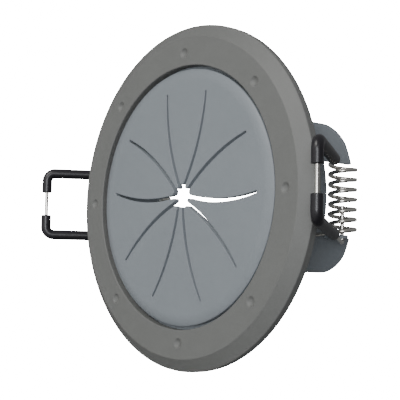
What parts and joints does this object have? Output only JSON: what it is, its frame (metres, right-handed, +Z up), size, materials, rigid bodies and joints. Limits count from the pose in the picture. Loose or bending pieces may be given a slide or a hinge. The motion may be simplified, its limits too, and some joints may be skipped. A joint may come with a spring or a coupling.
{
  "type": "ceiling air diffuser",
  "caption": "Round ceiling air diffuser: a trim ring round a slit plate with a star-shaped opening, held in the ceiling by sprung wire clips on a collar.",
  "frame": {"origin": "centre of the plane where the trim ring's rear edge meets the ceiling", "axes": "+Z up into the ceiling, so the visible face looks along -Z; +X towards the right clip; +Y along that clip's hinge, towards its pin end"},
  "size_m": [0.1276, 0.105, 0.0428],
  "materials": {
    "ring_plastic": "fine-textured warm grey moulded plastic",
    "plate_plastic": "matte blue-grey moulded plastic",
    "seal_foam": "closed-cell black foam",
    "screw_steel": "zinc-plated steel",
    "spring_wire": "drawn and plated spring wire",
    "sleeve_rubber": "satin black sleeve"
  },
  "bodies": {
    "housing": {"trim_ring": "ring_plastic", "slit_disc": "plate_plastic", "mounting_collar": "plate_plastic", "ceiling_seal": "seal_foam", "collar_screws": "screw_steel", "right_clip_coil": "spring_wire", "left_clip_coil": "spring_wire"},
    "right_bail": {"right_clip_bail": "spring_wire", "right_clip_spring_arm_sleeve": "sleeve_rubber", "right_clip_pin_arm_sleeve": "sleeve_rubber"},
    "left_bail": {"left_clip_bail": "spring_wire", "left_clip_spring_arm_sleeve": "sleeve_rubber", "left_clip_pin_arm_sleeve": "sleeve_rubber"}
  },
  "joints": [
    {"name": "right_clip_hinge", "type": "hinge", "parent": "housing", "child": "right_bail", "pos_m": [0.042, 0, 0.0204], "axis": [0, -1, 0], "range_deg": [0, 149], "stiffness_Nm_per_rad": 0.12, "springref_deg": -57.3, "deforming": ["right_clip_coil"]},
    {"name": "left_clip_hinge", "type": "hinge", "parent": "housing", "child": "left_bail", "pos_m": [-0.042, 0, 0.0204], "axis": [0, 1, 0], "range_deg": [0, 149], "stiffness_Nm_per_rad": 0.12, "springref_deg": -57.3, "deforming": ["left_clip_coil"]}
  ]
}
